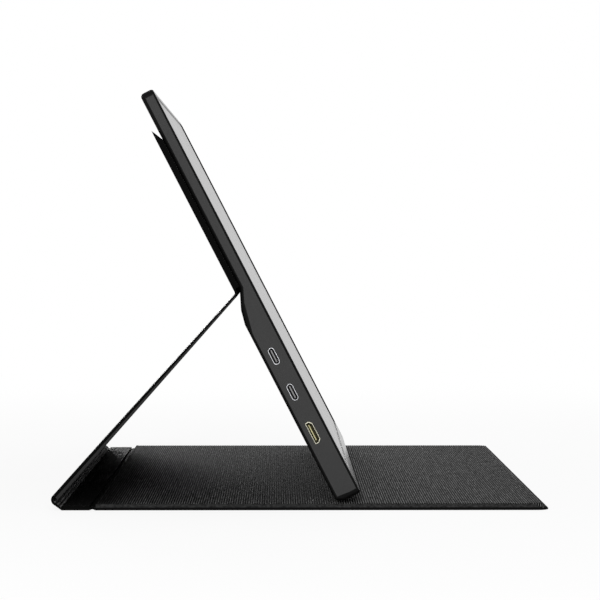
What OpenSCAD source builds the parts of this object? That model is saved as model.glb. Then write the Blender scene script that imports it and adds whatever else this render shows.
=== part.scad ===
// Portable monitor standing on its magnetic folding cover.
// The cover lies flat in front, folds up at its rear as a strut, and its top flap grips the monitor's back.
// +X is the width (user's right when facing the screen), -Y is the screen side, +Z is up.

/* [Monitor] */
// Width of the monitor
monitor_w = 356; // [340:1:400]
// Height of the monitor, along its own face
monitor_h = 223.5; // [215:0.5:260]
// Depth of the slim upper part
slim_t = 7; // [6.8:0.1:9]
// Depth of the lower part that holds the electronics
deep_t = 12.9; // [12.8:0.1:16]
// Height of the deep part, up from the bottom edge
deep_h = 99.5; // [98:0.5:110]
// Height of the slope between the deep part and the slim part
slope_h = 17.1; // [14:0.1:22]
// Height of the slope's knee above the deep part
knee_h = 7.3; // [4:0.1:9]
// How much shallower the monitor is at the slope's knee than in its deep part
knee_drop = 1.6; // [0.8:0.1:2.5]
// Depth that the bottom rear edge's bevel takes off
foot_cut_t = 3; // [1.5:0.1:3.5]
// Height that the bottom rear edge's bevel takes off
foot_cut_h = 2.5; // [1.5:0.1:3.5]
// Wall of the rear shell
shell_wall = 1.2; // [1:0.1:1.4]
// Corner radius, seen from the front
corner_r = 3; // [2:0.5:8]

/* [Stance] */
// Lean of the monitor, from the table to its face
tilt = 62.7; // [60:0.1:66]
// Distance from the cover's front edge back to the monitor's bottom front edge
stand_y = 92.7; // [80:0.1:100]
// Gap between the monitor's bottom edge and the cover
foot_gap = 0.6; // [0.4:0.1:1]

/* [Front frame] */
// Thickness of the front frame's plate
frame_t = 1.2; // [1:0.1:1.5]
// How far the frame's lip stands in front of the glass
lip = 0.7; // [0.4:0.1:0.8]
// Frame border at each side
side_border = 3.3; // [3.2:0.1:8]
// Frame border above the screen
top_border = 3; // [3:0.1:8]
// Height of the chin below the screen
chin = 12; // [11.5:0.1:20]
// How far the lip laps over the edge of the glass
lap = 0.6; // [0.4:0.1:1]
// Depth that the frame's inner skirt reaches behind its plate
skirt_l = 1.8; // [1:0.1:2.5]
// Wall of the inner skirt
skirt_wall = 1.4; // [0.8:0.1:1.5]
// Clearance between parts that slip together
slip = 0.2; // [0.1:0.05:0.25]

/* [Display stack] */
// Thickness of the cover glass
glass_t = 0.9; // [0.7:0.1:1.1]
// Thickness of the liquid crystal cell
cell_t = 1.1; // [0.8:0.1:1.2]
// Thickness of each optical film
film_t = 0.12; // [0.08:0.01:0.13]
// Number of optical films
film_count = 3; // [2:1:4]
// Thickness of the light guide
guide_t = 0.8; // [0.6:0.1:1]
// Thickness of the reflector sheet
reflector_t = 0.15; // [0.1:0.05:0.2]
// Thickness of the sheet metal tray
tray_t = 0.3; // [0.2:0.05:0.4]
// Number of light-emitting diodes on the strip
led_count = 24; // [12:1:40]

/* [Ports] */
// Distance of the ports' centre line behind the front face
port_v = 7.3; // [7.2:0.1:8]
// Height of the upper power and data port, up from the bottom edge
upper_port_height = 79.3; // [74:0.1:84]
// Height of the lower power and data port, up from the bottom edge
lower_port_height = 59.4; // [52:0.1:64]
// Long side of a power and data port
c_port_w = 8.9; // [8.5:0.1:9.5]
// Short side of a power and data port
c_port_t = 3.3; // [3:0.1:3.5]
// Height of the video port, up from the bottom edge
video_port_height = 37.1; // [34:0.1:42]
// Long side of the video port
video_port_w = 11.5; // [10.5:0.1:12.5]
// Short side of the video port
video_port_t = 3.4; // [3:0.1:3.6]
// Wall of a port's metal shell
port_wall = 0.35; // [0.25:0.05:0.5]
// Length of each port, into the monitor
port_l = 7.4; // [6.5:0.1:9]
// Height of the headphone socket, up from the bottom edge
audio_height = 36; // [33:0.5:40]
// Bore of the headphone socket
audio_bore = 3.6; // [3.5:0.05:3.8]
// Outer diameter of the headphone socket's nose
audio_d = 5.2; // [4.9:0.1:5.6]

/* [Buttons] */
// Height of the power button, up from the bottom edge
power_height = 82; // [78:0.5:86]
// Length of the power button
power_l = 8; // [6:0.5:10]
// Height of the menu rocker's middle, up from the bottom edge
rocker_height = 60; // [57:0.5:62]
// Length of the menu rocker
rocker_l = 17; // [14:0.5:19]
// Width of both buttons' caps
cap_w = 2.4; // [2:0.1:3]
// How far the caps stand out of the side
cap_proud = 0.5; // [0.3:0.1:0.8]
// Travel of the power button, and room for the rocker to rock
key_room = 0.4; // [0.35:0.05:0.5]

/* [Electronics] */
// Thickness of the circuit boards
board_t = 1; // [0.8:0.1:1.2]
// Width of the main board
main_board_w = 82; // [70:1:90]
// Lowest edge of the main board, up from the bottom edge
board_low = 16; // [15.5:0.5:20]
// Highest edge of the main board, up from the bottom edge
board_high = 96; // [92:0.5:98]
// Width of the button board
button_board_w = 24; // [20:1:30]
// Width of the driver board behind the panel
driver_board_w = 220; // [205:1:240]
// Height of the driver board
driver_board_h = 16; // [12:0.5:18]
// Side of the scaler chip
scaler_w = 9; // [6:0.5:12]
// Height of the scaler chip
scaler_t = 1.2; // [0.8:0.1:1.5]
// Side of the memory chip
memory_w = 6; // [4:0.5:8]
// Height of the memory chip
memory_t = 1; // [0.7:0.1:1.2]
// Side of each power coil
coil_w = 7; // [5:0.5:8]
// Height of each power coil
coil_t = 2.4; // [1.5:0.1:2.6]
// Width of the shielding can
shield_w = 44; // [30:1:50]
// Height of the shielding can, up the board
shield_h = 32; // [20:1:40]
// Depth of the shielding can
shield_t = 1.1; // [0.8:0.1:1.2]
// Sheet thickness of the shielding can
shield_wall = 0.2; // [0.15:0.05:0.25]
// Width of each flat cable
flat_cable_w = 8; // [5:0.5:8]
// Thickness of each flat cable
flat_cable_t = 0.2; // [0.15:0.05:0.25]
// Length of each flat cable's end on its board
cable_foot = 4; // [3:0.5:5]
// Outer diameter of the screw bosses
boss_d = 5.5; // [5:0.1:6]
// Thread diameter of the board screws
board_screw_d = 1.9; // [1.6:0.1:2]
// Thread diameter of the shell screws
shell_screw_d = 2.5; // [2:0.1:2.6]
// Width of each speaker
speaker_w = 40; // [30:1:50]
// Height of each speaker
speaker_h = 18; // [14:0.5:20]

/* [Cover] */
// Width of the cover
cover_w = 360; // [356:1:380]
// Length of the base panel, front to rear
base_l = 223.3; // [200:0.1:240]
// Thickness of the base panel
base_t = 3.4; // [2.8:0.1:4.5]
// Slope run of the base panel's front edge
front_bevel = 3; // [1.5:0.1:4]
// Slope run of the base panel's other edges
side_bevel = 1.2; // [0.8:0.1:2]
// Length of the soft crease between base panel and spine
base_crease_l = 2.9; // [2:0.1:5]
// Length of the spine
spine_l = 13.2; // [11:0.1:16]
// Thickness of the spine
spine_t = 2.2; // [1.8:0.1:2.6]
// Run of the rear fold behind the spine
fold_run = 4.8; // [4:0.1:6]
// Height of the rear fold above the table
fold_z = 4.2; // [3.8:0.1:5]
// Thickness of the strut panel
strut_t = 1.8; // [1.5:0.1:2.4]
// Thickness of the flap panel
flap_t = 2.5; // [2.2:0.1:3]
// Length of the flap panel
flap_l = 88; // [60:0.5:98]
// Gap between the slope's top and the flap's lower edge
flap_gap = 0.9; // [0.4:0.1:2]
// Thickness of the cover's outer skin
skin_t = 0.5; // [0.4:0.05:0.6]
// Thickness of the cover's woven lining
lining_t = 0.5; // [0.4:0.05:0.6]
// Thickness of the soft fold fabric
fold_t = 1; // [0.8:0.1:1.2]
// Free length of the fold fabric on each side of a pivot
fold_half = 2.5; // [2.2:0.1:4]
// Corner radius of the cover's free corners
cover_r = 6; // [3:0.5:12]
// Length of each magnet bar
magnet_l = 24; // [10:1:30]
// Width of each magnet bar
magnet_w = 6; // [4:0.5:8]
// Thickness of each magnet bar
magnet_t = 1; // [0.8:0.1:1.1]

/* [Hidden] */
$fn = 48;
eps = 0.01;
c_port_heights = [upper_port_height, lower_port_height];

// Depths of the display stack behind the front face.
glass_v = lip;
cell_v = glass_v + glass_t;
film_v = cell_v + cell_t;
film_pitch = film_t + 0.03;
guide_v = film_v + film_count * film_pitch;
reflector_v = guide_v + guide_t;
tray_v = reflector_v + reflector_t;
stack_v = tray_v + tray_t;

// Screen window and the nested outlines behind it: half widths, lowest and highest edges.
window_x = monitor_w / 2 - side_border;
window_low = chin;
window_high = monitor_h - top_border;
cell_edge = 0.4;
tray_clear = 0.6;
led_room = 1.6;

// Deep part: inner back wall, board plane and screw columns.
inner_back = deep_t - shell_wall;
board_v = port_v + video_port_t / 2;
board_back = board_v + board_t;
main_x0 = -monitor_w / 2 + shell_wall + slip;
main_x1 = main_x0 + main_board_w;
button_x1 = monitor_w / 2 - shell_wall - 2.4;
button_x0 = button_x1 - button_board_w;
boss_inset = 4.5;
main_boss_x = [main_x0 + port_l + boss_inset, main_x1 - boss_inset];
board_boss_u = [board_low + boss_inset, board_high - boss_inset];
button_boss_x = button_x0 + boss_inset;
chin_boss_u = shell_wall + 5.6;
chin_boss_x = [for (share = [-0.45, -0.16, 0.16, 0.45]) share * monitor_w];
chin_pad = 2;
chin_pad_d = boss_d + 1.5;
frame_boss_end = inner_back - chin_pad;
screw_head_t = 1;
shell_head_d = 4.4;
board_head_d = 3.6;

// Buttons: the shell's inner side wall and the caps' flange behind it.
side_in = monitor_w / 2 - shell_wall;
flange_t = 0.8;
flange_lap = 1;
flange_w = cap_w + 2 * flange_lap;
flange_gap = 0.35;
cap_clear = 0.2;
flange_x1 = side_in - flange_gap;
switch_x1 = flange_x1 - flange_t - key_room - 0.05;
switch_l = 3;
switch_w = 3;
switch_h = 3.4;
rocker_throw = rocker_l / 2 - 3;

// Speakers stand on the inner back wall, between the circuit boards.
speaker_x = -main_x1 - 8 - speaker_w / 2;
speaker_u = board_low + 5;
speaker_t = inner_back - board_v + 1.5;

// Driver board on the back of the tray.
driver_u0 = window_low + 2;
driver_t = 0.8;

// Stance: the monitor's bottom front edge, the two fold pivots and the strut between them.
depth = base_l + base_crease_l + spine_l + fold_run + fold_t / 2;
front_y = -depth / 2;
base_rear = front_y + base_l;
spine_front = base_rear + base_crease_l;
spine_rear = spine_front + spine_l;
foot_y = front_y + stand_y;
foot_drop = max((deep_t - foot_cut_t) * cos(tilt), deep_t * cos(tilt) - foot_cut_h * sin(tilt));
foot_z = base_t + foot_gap + foot_drop;
flap_low = deep_h + slope_h + flap_gap;
flap_mid_v = slim_t + flap_t / 2;
lower_pivot = [spine_rear + fold_run, fold_z];
upper_pivot = monitor_point(flap_mid_v, flap_low - fold_half);
strut_run = lower_pivot[0] - upper_pivot[0];
strut_rise = upper_pivot[1] - lower_pivot[1];
strut_angle = atan2(strut_rise, strut_run);
pivot_span = sqrt(strut_run * strut_run + strut_rise * strut_rise);
strut_l = pivot_span - 2 * fold_half;

// A point of the monitor's side view, from its depth behind the face and its height, to world Y and Z.
function monitor_point(v, u) =
    [foot_y + u * cos(tilt) + v * sin(tilt), foot_z + u * sin(tilt) - v * cos(tilt)];

// Side outline of the monitor as depth and height, anticlockwise from its bottom front edge.
side_outline = [[0, 0], [deep_t - foot_cut_t, 0], [deep_t, foot_cut_h], [deep_t, deep_h],
                [deep_t - knee_drop, deep_h + knee_h], [slim_t, deep_h + slope_h],
                [slim_t, monitor_h], [0, monitor_h]];

// Where two lines cross, each given by a point and a direction.
function cross_2d(a, b) = a[0] * b[1] - a[1] * b[0];
function meet(p, d, q, e) = p + d * (cross_2d(q - p, e) / cross_2d(d, e));
// An anticlockwise outline with each side moved inward by its own distance.
function edge_dir(pts, i) =
    let (d = pts[(i + 1) % len(pts)] - pts[i]) d / norm(d);
function inward(pts, i, gap) = let (d = edge_dir(pts, i)) pts[i] + gap * [-d[1], d[0]];
function inset(pts, gaps) =
    [for (i = [0:len(pts) - 1]) let (j = (i + len(pts) - 1) % len(pts))
        meet(inward(pts, j, gaps[j]), edge_dir(pts, j), inward(pts, i, gaps[i]), edge_dir(pts, i))];

// Plain shapes in the monitor's own axes: x across, v behind the face, u up from the bottom edge.
module on_monitor() translate([0, foot_y, foot_z]) rotate([tilt - 90, 0, 0]) children();
module slab(x, v, u) translate([x[0], v[0], u[0]]) cube([x[1] - x[0], v[1] - v[0], u[1] - u[0]]);
module along_x(x0, x1) translate([x0, 0, 0]) rotate([90, 0, 90]) linear_extrude(x1 - x0) children();
module rod_v(x, u, v0, v1, d) translate([x, v0, u]) rotate([-90, 0, 0]) cylinder(d = d, h = v1 - v0);
module rounded_rect(x0, x1, y0, y1, r) {
    translate([x0 + r, y0]) square([x1 - x0 - 2 * r, y1 - y0]);
    translate([x0, y0 + r]) square([x1 - x0, y1 - y0 - 2 * r]);
    for (x = [x0 + r, x1 - r], y = [y0 + r, y1 - r]) translate([x, y]) circle(r);
}
// A rounded plate facing the front, between two depths.
module face_plate(half_w, u, v, r)
    translate([0, v[1], 0]) rotate([90, 0, 0]) linear_extrude(v[1] - v[0])
        rounded_rect(-half_w, half_w, u[0], u[1], r);
// A slot outline with round ends, long side up, extruded across.
module slot_x(x0, x1, u, v, l, w)
    along_x(x0, x1) {
        translate([v - w / 2, u - (l - w) / 2]) square([w, l - w]);
        for (end = [-1, 1]) translate([v, u + end * (l - w) / 2]) circle(d = w);
    }

// The video port's outline: a slot with bevelled corners on its front side, grown by a margin.
module video_outline(margin) {
    w = video_port_w / 2 + margin;
    t = video_port_t / 2 + margin;
    bevel = video_port_t * 0.4;
    u = video_port_height;
    polygon([[port_v + t, u - w], [port_v + t, u + w], [port_v - t + bevel, u + w],
             [port_v - t, u + w - bevel], [port_v - t, u - w + bevel], [port_v - t + bevel, u - w]]);
}

module shell_outside() intersection() {
    along_x(-monitor_w / 2, monitor_w / 2) polygon(side_outline);
    face_plate(monitor_w / 2, [0, monitor_h], [0, deep_t], corner_r);
}

module shell_inside() intersection() {
    along_x(-side_in, side_in)
        polygon(inset(side_outline, [for (i = [0:6]) shell_wall, -1]));
    face_plate(side_in, [shell_wall, monitor_h - shell_wall], [-1, deep_t],
               max(corner_r - shell_wall, 0.5));
}

// Grille slots behind one speaker.
module grille(x) {
    slots = 6;
    pitch = 5;
    for (i = [0:slots - 1])
        slab([x + (i - (slots - 1) / 2) * pitch - 0.6, x + (i - (slots - 1) / 2) * pitch + 0.6],
             [inner_back - 1, deep_t + 1],
             [speaker_u + 4, speaker_u + speaker_h - 4]);
}

module board_boss(x, u) rod_v(x, u, board_back, inner_back + eps, boss_d);

module rear_shell() color([0.07, 0.07, 0.075]) on_monitor() difference() {
    union() {
        difference() {
            shell_outside();
            shell_inside();
            translate([-monitor_w, -1, -1]) cube([2 * monitor_w, frame_t + 1, monitor_h + 2]);
        }
        for (x = main_boss_x, u = board_boss_u) board_boss(x, u);
        for (u = board_boss_u) board_boss(button_boss_x, u);
        for (x = chin_boss_x) rod_v(x, chin_boss_u, frame_boss_end, inner_back + eps, chin_pad_d);
    }
    for (x = main_boss_x, u = board_boss_u) rod_v(x, u, board_back - 1, inner_back, board_screw_d + 0.1);
    for (u = board_boss_u) rod_v(button_boss_x, u, board_back - 1, inner_back, board_screw_d + 0.1);
    for (x = chin_boss_x) {
        rod_v(x, chin_boss_u, frame_boss_end - 1, deep_t + 1, shell_screw_d + 0.2);
        rod_v(x, chin_boss_u, deep_t - screw_head_t, deep_t + 1, shell_head_d + slip);
    }
    for (u = c_port_heights)
        slot_x(-monitor_w, -side_in + 1, u, port_v, c_port_w + slip, c_port_t + slip);
    along_x(-monitor_w, -side_in + 1) video_outline(slip / 2);
    translate([side_in - 1, port_v, audio_height]) rotate([0, 90, 0]) cylinder(d = audio_d + slip, h = 10);
    slot_x(side_in - 1, monitor_w, power_height, port_v, power_l + 2 * cap_clear, cap_w + 2 * cap_clear);
    slot_x(side_in - 1, monitor_w, rocker_height, port_v, rocker_l + 2 * cap_clear, cap_w + 2 * cap_clear);
    for (side = [-1, 1]) grille(side * speaker_x);
}

module front_frame() color([0.05, 0.05, 0.055]) on_monitor() {
    glass_room = slip;
    rebate_x = window_x + lap + glass_room;
    rebate_u = [window_low - lap - glass_room, window_high + lap + glass_room];
    skirt_x = rebate_x + skirt_wall;
    skirt_u = [rebate_u[0] - skirt_wall, min(rebate_u[1] + skirt_wall, monitor_h - shell_wall - slip)];
    difference() {
        union() {
            face_plate(monitor_w / 2, [0, monitor_h], [0, frame_t], corner_r);
            face_plate(min(skirt_x, side_in - slip), skirt_u, [frame_t - eps, frame_t + skirt_l], 1.5);
            for (x = chin_boss_x) rod_v(x, chin_boss_u, frame_t - eps, frame_boss_end, boss_d);
        }
        slab([-window_x, window_x], [-1, frame_t], [window_low, window_high]);
        slab([-rebate_x, rebate_x], [glass_v, frame_t + skirt_l + 1], rebate_u);
        for (x = chin_boss_x) rod_v(x, chin_boss_u, frame_t + 0.8, frame_boss_end + 1, shell_screw_d + 0.1);
    }
}

module screen_glass() color([0.02, 0.02, 0.025]) on_monitor()
    slab([-window_x - lap, window_x + lap], [glass_v, cell_v], [window_low - lap, window_high + lap]);

module display_cell() color([0.12, 0.12, 0.16]) on_monitor()
    slab([-window_x, window_x], [cell_v, film_v], [window_low, window_high - cell_edge]);

module optical_films() color([0.92, 0.93, 0.95]) on_monitor()
    for (i = [0:film_count - 1])
        slab([-window_x + tray_clear, window_x - tray_clear],
             [film_v + 0.03 + i * film_pitch, film_v + (i + 1) * film_pitch],
             [window_low + led_room, window_high - cell_edge - tray_clear]);

module light_guide() color([0.85, 0.9, 0.95]) on_monitor()
    slab([-window_x + tray_clear, window_x - tray_clear], [guide_v, reflector_v],
         [window_low + led_room, window_high - cell_edge - tray_clear]);

module reflector_sheet() color([0.97, 0.97, 0.97]) on_monitor()
    slab([-window_x + tray_clear, window_x - tray_clear], [reflector_v, tray_v],
         [window_low + tray_clear, window_high - cell_edge - tray_clear]);

// Light-emitting diodes in a row, shining up into the lower edge of the light guide.
module led_strip() color([0.95, 0.9, 0.6]) on_monitor() {
    strip_t = 0.4;
    strip_half = window_x - 4;
    led_l = 3;
    strip_u = window_low + tray_clear;
    slab([-strip_half, strip_half], [guide_v, reflector_v], [strip_u, strip_u + strip_t]);
    for (i = [0:led_count - 1]) {
        x = -strip_half + (i + 0.5) * 2 * strip_half / led_count;
        slab([x - led_l / 2, x + led_l / 2], [guide_v + 0.1, reflector_v - 0.1],
             [strip_u + strip_t - eps, window_low + led_room - 0.1]);
    }
}

module panel_tray() color([0.72, 0.73, 0.75]) on_monitor() difference() {
    slab([-window_x, window_x], [film_v, stack_v], [window_low, window_high - cell_edge]);
    slab([-window_x + tray_t, window_x - tray_t], [film_v - 1, tray_v],
         [window_low + tray_t, window_high - cell_edge - tray_t]);
}

// Thin printed films that wrap from the cell's lower edge round the tray to the driver board.
module panel_flex() color([0.75, 0.45, 0.1]) on_monitor() {
    flex_t = 0.12;
    flex_w = 34;
    v0 = cell_v + 0.2;
    v1 = stack_v + 0.3;
    u0 = window_low - 0.5;
    outline = [[v0, u0], [v1, u0], [v1, driver_u0], [v1 - flex_t, driver_u0], [v1 - flex_t, u0 + flex_t],
               [v0 + flex_t, u0 + flex_t], [v0 + flex_t, window_low], [v0, window_low]];
    for (share = [-0.36, 0, 0.36])
        along_x(share * driver_board_w - flex_w / 2, share * driver_board_w + flex_w / 2)
            polygon(outline);
}

module driver_board() color([0.05, 0.35, 0.18]) on_monitor() {
    slab([-driver_board_w / 2, driver_board_w / 2], [stack_v, stack_v + driver_t],
         [driver_u0, driver_u0 + driver_board_h]);
    for (share = [-0.3, 0.05, 0.3])
        slab([share * driver_board_w - 5, share * driver_board_w + 5],
             [stack_v + driver_t - eps, stack_v + driver_t + 0.7],
             [driver_u0 + 4, driver_u0 + 11]);
}

// Flat cable that steps from the driver board back to the main board.
module display_cable() color([0.85, 0.85, 0.8]) on_monitor() {
    t = flat_cable_t;
    x0 = main_x1 - 2 * boss_inset - cable_foot - t;
    step = x0 + cable_foot;
    x1 = max(step + t, -driver_board_w / 2) + cable_foot;
    v0 = stack_v + driver_t;
    translate([0, 0, board_low + 1]) linear_extrude(flat_cable_w)
        polygon([[x1, v0], [step, v0], [step, board_v - t], [x0, board_v - t], [x0, board_v],
                 [step + t, board_v], [step + t, v0 + t], [x1, v0 + t]]);
}

module main_board() color([0.04, 0.3, 0.16]) on_monitor() difference() {
    slab([main_x0, main_x1], [board_v, board_back], [board_low, board_high]);
    for (x = main_boss_x, u = board_boss_u)
        rod_v(x, u, board_v - 1, board_back + 1, board_screw_d + 0.4);
}

// A square chip on the front face of the main board, at a share of its width and of its height.
module chip(x_share, u_share, w, t) {
    x = main_x0 + x_share * main_board_w;
    u = board_low + u_share * (board_high - board_low);
    slab([x - w / 2, x + w / 2], [board_v - t, board_v], [u - w / 2, u + w / 2]);
}
// The scaler, its two memory chips and the coils of the two power converters.
module board_chips() color([0.1, 0.1, 0.11]) on_monitor() {
    chip(0.56, 0.62, scaler_w, scaler_t);
    for (u_share = [0.55, 0.69]) chip(0.72, u_share, memory_w, memory_t);
    for (x_share = [0.34, 0.5]) chip(x_share, 0.3, coil_w, coil_t);
}

// Folded metal can on the rear face of the main board, behind the scaler.
module board_shield() color([0.75, 0.75, 0.76]) on_monitor() {
    x = (main_x0 + main_x1) / 2;
    u = (board_low + board_high) / 2;
    half = [shield_w / 2, shield_h / 2];
    inner = half - [shield_wall, shield_wall];
    difference() {
        slab([x - half[0], x + half[0]], [board_back, board_back + shield_t], [u - half[1], u + half[1]]);
        slab([x - inner[0], x + inner[0]], [board_back - 1, board_back + shield_t - shield_wall],
             [u - inner[1], u + inner[1]]);
    }
}

// Metal shell of a power and data port: a slot tube, closed at its inner end.
module c_port(height) color([0.78, 0.79, 0.8]) on_monitor() difference() {
    slot_x(-monitor_w / 2, -monitor_w / 2 + port_l, height, port_v, c_port_w, c_port_t);
    slot_x(-monitor_w / 2 - 1, -monitor_w / 2 + port_l - 1, height, port_v,
           c_port_w - 2 * port_wall, c_port_t - 2 * port_wall);
}
module upper_c_port() c_port(upper_port_height);
module lower_c_port() c_port(lower_port_height);

module video_port() color([0.72, 0.62, 0.36]) on_monitor() difference() {
    along_x(-monitor_w / 2, -monitor_w / 2 + port_l) video_outline(0);
    along_x(-monitor_w / 2 - 1, -monitor_w / 2 + port_l - 1) video_outline(-port_wall);
}

// Contact tongues, one standing on the back wall of each port.
module port_tongues() color([0.08, 0.08, 0.085]) on_monitor() {
    x = [-monitor_w / 2 + 0.8, -monitor_w / 2 + port_l - 1];
    for (u = c_port_heights) slab(x, [port_v - 0.35, port_v + 0.35], [u - 3.3, u + 3.3]);
    slab(x, [port_v + 0.1, port_v + 0.7], [video_port_height - 4.2, video_port_height + 4.2]);
}

module headphone_socket() color([0.06, 0.06, 0.065]) on_monitor() {
    body_x0 = button_x1 - 10;
    body_r = board_v - port_v;
    difference() {
        union() {
            slab([body_x0, side_in - 0.4], [port_v - body_r, board_v], [audio_height - 3, audio_height + 3]);
            translate([side_in - 1, port_v, audio_height]) rotate([0, 90, 0])
                cylinder(d = audio_d, h = shell_wall + 1);
        }
        translate([body_x0 + 1, port_v, audio_height]) rotate([0, 90, 0]) cylinder(d = audio_bore, h = 30);
    }
}

module button_board() color([0.04, 0.3, 0.16]) on_monitor() difference() {
    slab([button_x0, button_x1], [board_v, board_back], [board_low, board_high]);
    for (u = board_boss_u) rod_v(button_boss_x, u, board_v - 1, board_back + 1, board_screw_d + 0.4);
}

// Tactile switches: one behind the power button, one behind each end of the rocker.
module button_switches() color([0.6, 0.6, 0.62]) on_monitor()
    for (u = [power_height, rocker_height - rocker_throw, rocker_height + rocker_throw]) {
        slab([switch_x1 - 1 - switch_l, switch_x1 - 1], [board_v - switch_h, board_v],
             [u - switch_w / 2, u + switch_w / 2]);
        slab([switch_x1 - 1 - eps, switch_x1], [port_v - 0.6, port_v + 0.6], [u - 0.8, u + 0.8]);
    }

// Flat cable along the inner back wall from the main board to the button board.
module button_cable() color([0.85, 0.85, 0.8]) on_monitor() {
    t = flat_cable_t;
    foot = cable_foot;
    x0 = main_x1 - foot;
    x1 = button_x0 + foot;
    v0 = board_back;
    v1 = inner_back;
    outline = [[x0, v0], [main_x1 + foot + t, v0], [main_x1 + foot + t, v1 - t],
               [button_x0 - foot - t, v1 - t], [button_x0 - foot - t, v0], [x1, v0],
               [x1, v0 + t], [button_x0 - foot, v0 + t], [button_x0 - foot, v1],
               [main_x1 + foot, v1], [main_x1 + foot, v0 + t], [x0, v0 + t]];
    translate([0, 0, (board_low + board_high) / 2]) linear_extrude(flat_cable_w) polygon(outline);
}

// A flat speaker: a box with an oval diaphragm facing the grille.
module speaker(x) color([0.09, 0.09, 0.1]) on_monitor() difference() {
    slab([x - speaker_w / 2, x + speaker_w / 2], [inner_back - speaker_t, inner_back],
         [speaker_u, speaker_u + speaker_h]);
    translate([0, inner_back + 1, 0]) rotate([90, 0, 0]) linear_extrude(1.8)
        rounded_rect(x - speaker_w / 2 + 2, x + speaker_w / 2 - 2, speaker_u + 2, speaker_u + speaker_h - 2,
                     speaker_h / 2 - 2.5);
}
module left_speaker() speaker(-speaker_x);
module right_speaker() speaker(speaker_x);

module speaker_leads() color([0.6, 0.1, 0.08]) on_monitor()
    for (run = [[main_x1, -speaker_x - speaker_w / 2], [speaker_x + speaker_w / 2, button_x0]])
        translate([run[0], board_v + board_t / 2, speaker_u + speaker_h / 2]) rotate([0, 90, 0])
            cylinder(d = 0.8, h = run[1] - run[0]);

module board_screws() color([0.7, 0.7, 0.72]) on_monitor()
    for (spot = concat([for (x = main_boss_x, u = board_boss_u) [x, u]],
                       [for (u = board_boss_u) [button_boss_x, u]])) {
        rod_v(spot[0], spot[1], board_v - screw_head_t, board_v, board_head_d);
        rod_v(spot[0], spot[1], board_v - eps, inner_back - 0.1, board_screw_d);
    }

// Shell screws with a cross-shaped drive, sunk into the rear shell.
module shell_screws() color([0.12, 0.12, 0.13]) on_monitor()
    for (x = chin_boss_x) difference() {
        union() {
            rod_v(x, chin_boss_u, deep_t - screw_head_t, deep_t, shell_head_d);
            rod_v(x, chin_boss_u, frame_boss_end - 4, deep_t - screw_head_t + eps, shell_screw_d);
        }
        for (turn = [0, 90]) translate([x, deep_t + 0.5, chin_boss_u]) rotate([0, turn, 0])
            cube([2.4, 2.2, 0.5], center = true);
    }

// Steel sheet inside the slim part that the flap's magnets hold on to.
module grip_plate() color([0.55, 0.56, 0.58]) on_monitor()
    slab([-monitor_w / 2 + 20, monitor_w / 2 - 20], [slim_t - shell_wall - 0.5, slim_t - shell_wall],
         [flap_low + 3, monitor_h - 12]);

// Magnet bars across the cover, on either side of its middle.
magnet_x = [for (share = [-0.4, -0.15, 0.15, 0.4]) share * cover_w];
module magnet_row(y, z, length_w, thickness)
    for (x = magnet_x) translate([x - magnet_l / 2, y, z]) cube([magnet_l, length_w, thickness]);

// Flap panel, flat on the monitor's slim back: woven lining against the monitor, skin outside.
flap_v = [slim_t, slim_t + flap_t];
flap_u = [flap_low, flap_low + flap_l];
module flap_outline(margin, depths) translate([0, depths[1], 0]) rotate([90, 0, 0])
    linear_extrude(depths[1] - depths[0]) {
        half = cover_w / 2 - margin;
        top = flap_u[1] - margin;
        translate([-half, flap_u[0]]) square([2 * half, top - flap_u[0] - cover_r]);
        translate([-half + cover_r, flap_u[0]]) square([2 * (half - cover_r), top - flap_u[0]]);
        for (side = [-1, 1]) translate([side * (half - cover_r), top - cover_r]) circle(cover_r);
    }
module flap_skin() color([0.06, 0.06, 0.065]) on_monitor() difference() {
    flap_outline(0, flap_v);
    flap_outline(skin_t, [flap_v[0] - 1, flap_v[1] - skin_t]);
}
module flap_board() color([0.35, 0.32, 0.28]) on_monitor() difference() {
    flap_outline(skin_t, [flap_v[0] + lining_t, flap_v[1] - skin_t]);
    flap_magnet_rows();
}
module flap_lining() color([0.24, 0.24, 0.25]) on_monitor()
    flap_outline(skin_t, [flap_v[0], flap_v[0] + lining_t]);
module flap_magnet_rows() for (u = [flap_u[0] + 12, flap_u[1] - 12 - magnet_w])
    translate([0, flap_v[0] + lining_t, 0]) for (x = magnet_x)
        translate([x - magnet_l / 2, 0, u]) cube([magnet_l, magnet_t, magnet_w]);
module flap_magnets() color([0.65, 0.65, 0.66]) on_monitor() flap_magnet_rows();

// Caps on the far side: a slot-shaped cap through the shell's side and a wider flange behind it.
module cap(height, length) {
    slot_x(flange_x1 - eps, monitor_w / 2 + cap_proud, height, port_v, length, cap_w);
    slot_x(flange_x1 - flange_t, flange_x1, height, port_v, length + 2 * flange_lap, flange_w);
}
module power_button() color([0.05, 0.05, 0.055]) on_monitor() cap(power_height, power_l);
// The rocker tips on a round rib across its flange, which bears on the shell's inner wall.
module menu_rocker() color([0.05, 0.05, 0.055]) on_monitor() difference() {
    union() {
        cap(rocker_height, rocker_l);
        rod_v(flange_x1, rocker_height, port_v - flange_w / 2, port_v + flange_w / 2, 2 * (flange_gap - 0.03));
    }
    slab([monitor_w / 2 + cap_proud - 0.25, monitor_w / 2 + cap_proud + 1], [0, deep_t],
         [rocker_height - 1, rocker_height + 1]);
}

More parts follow.
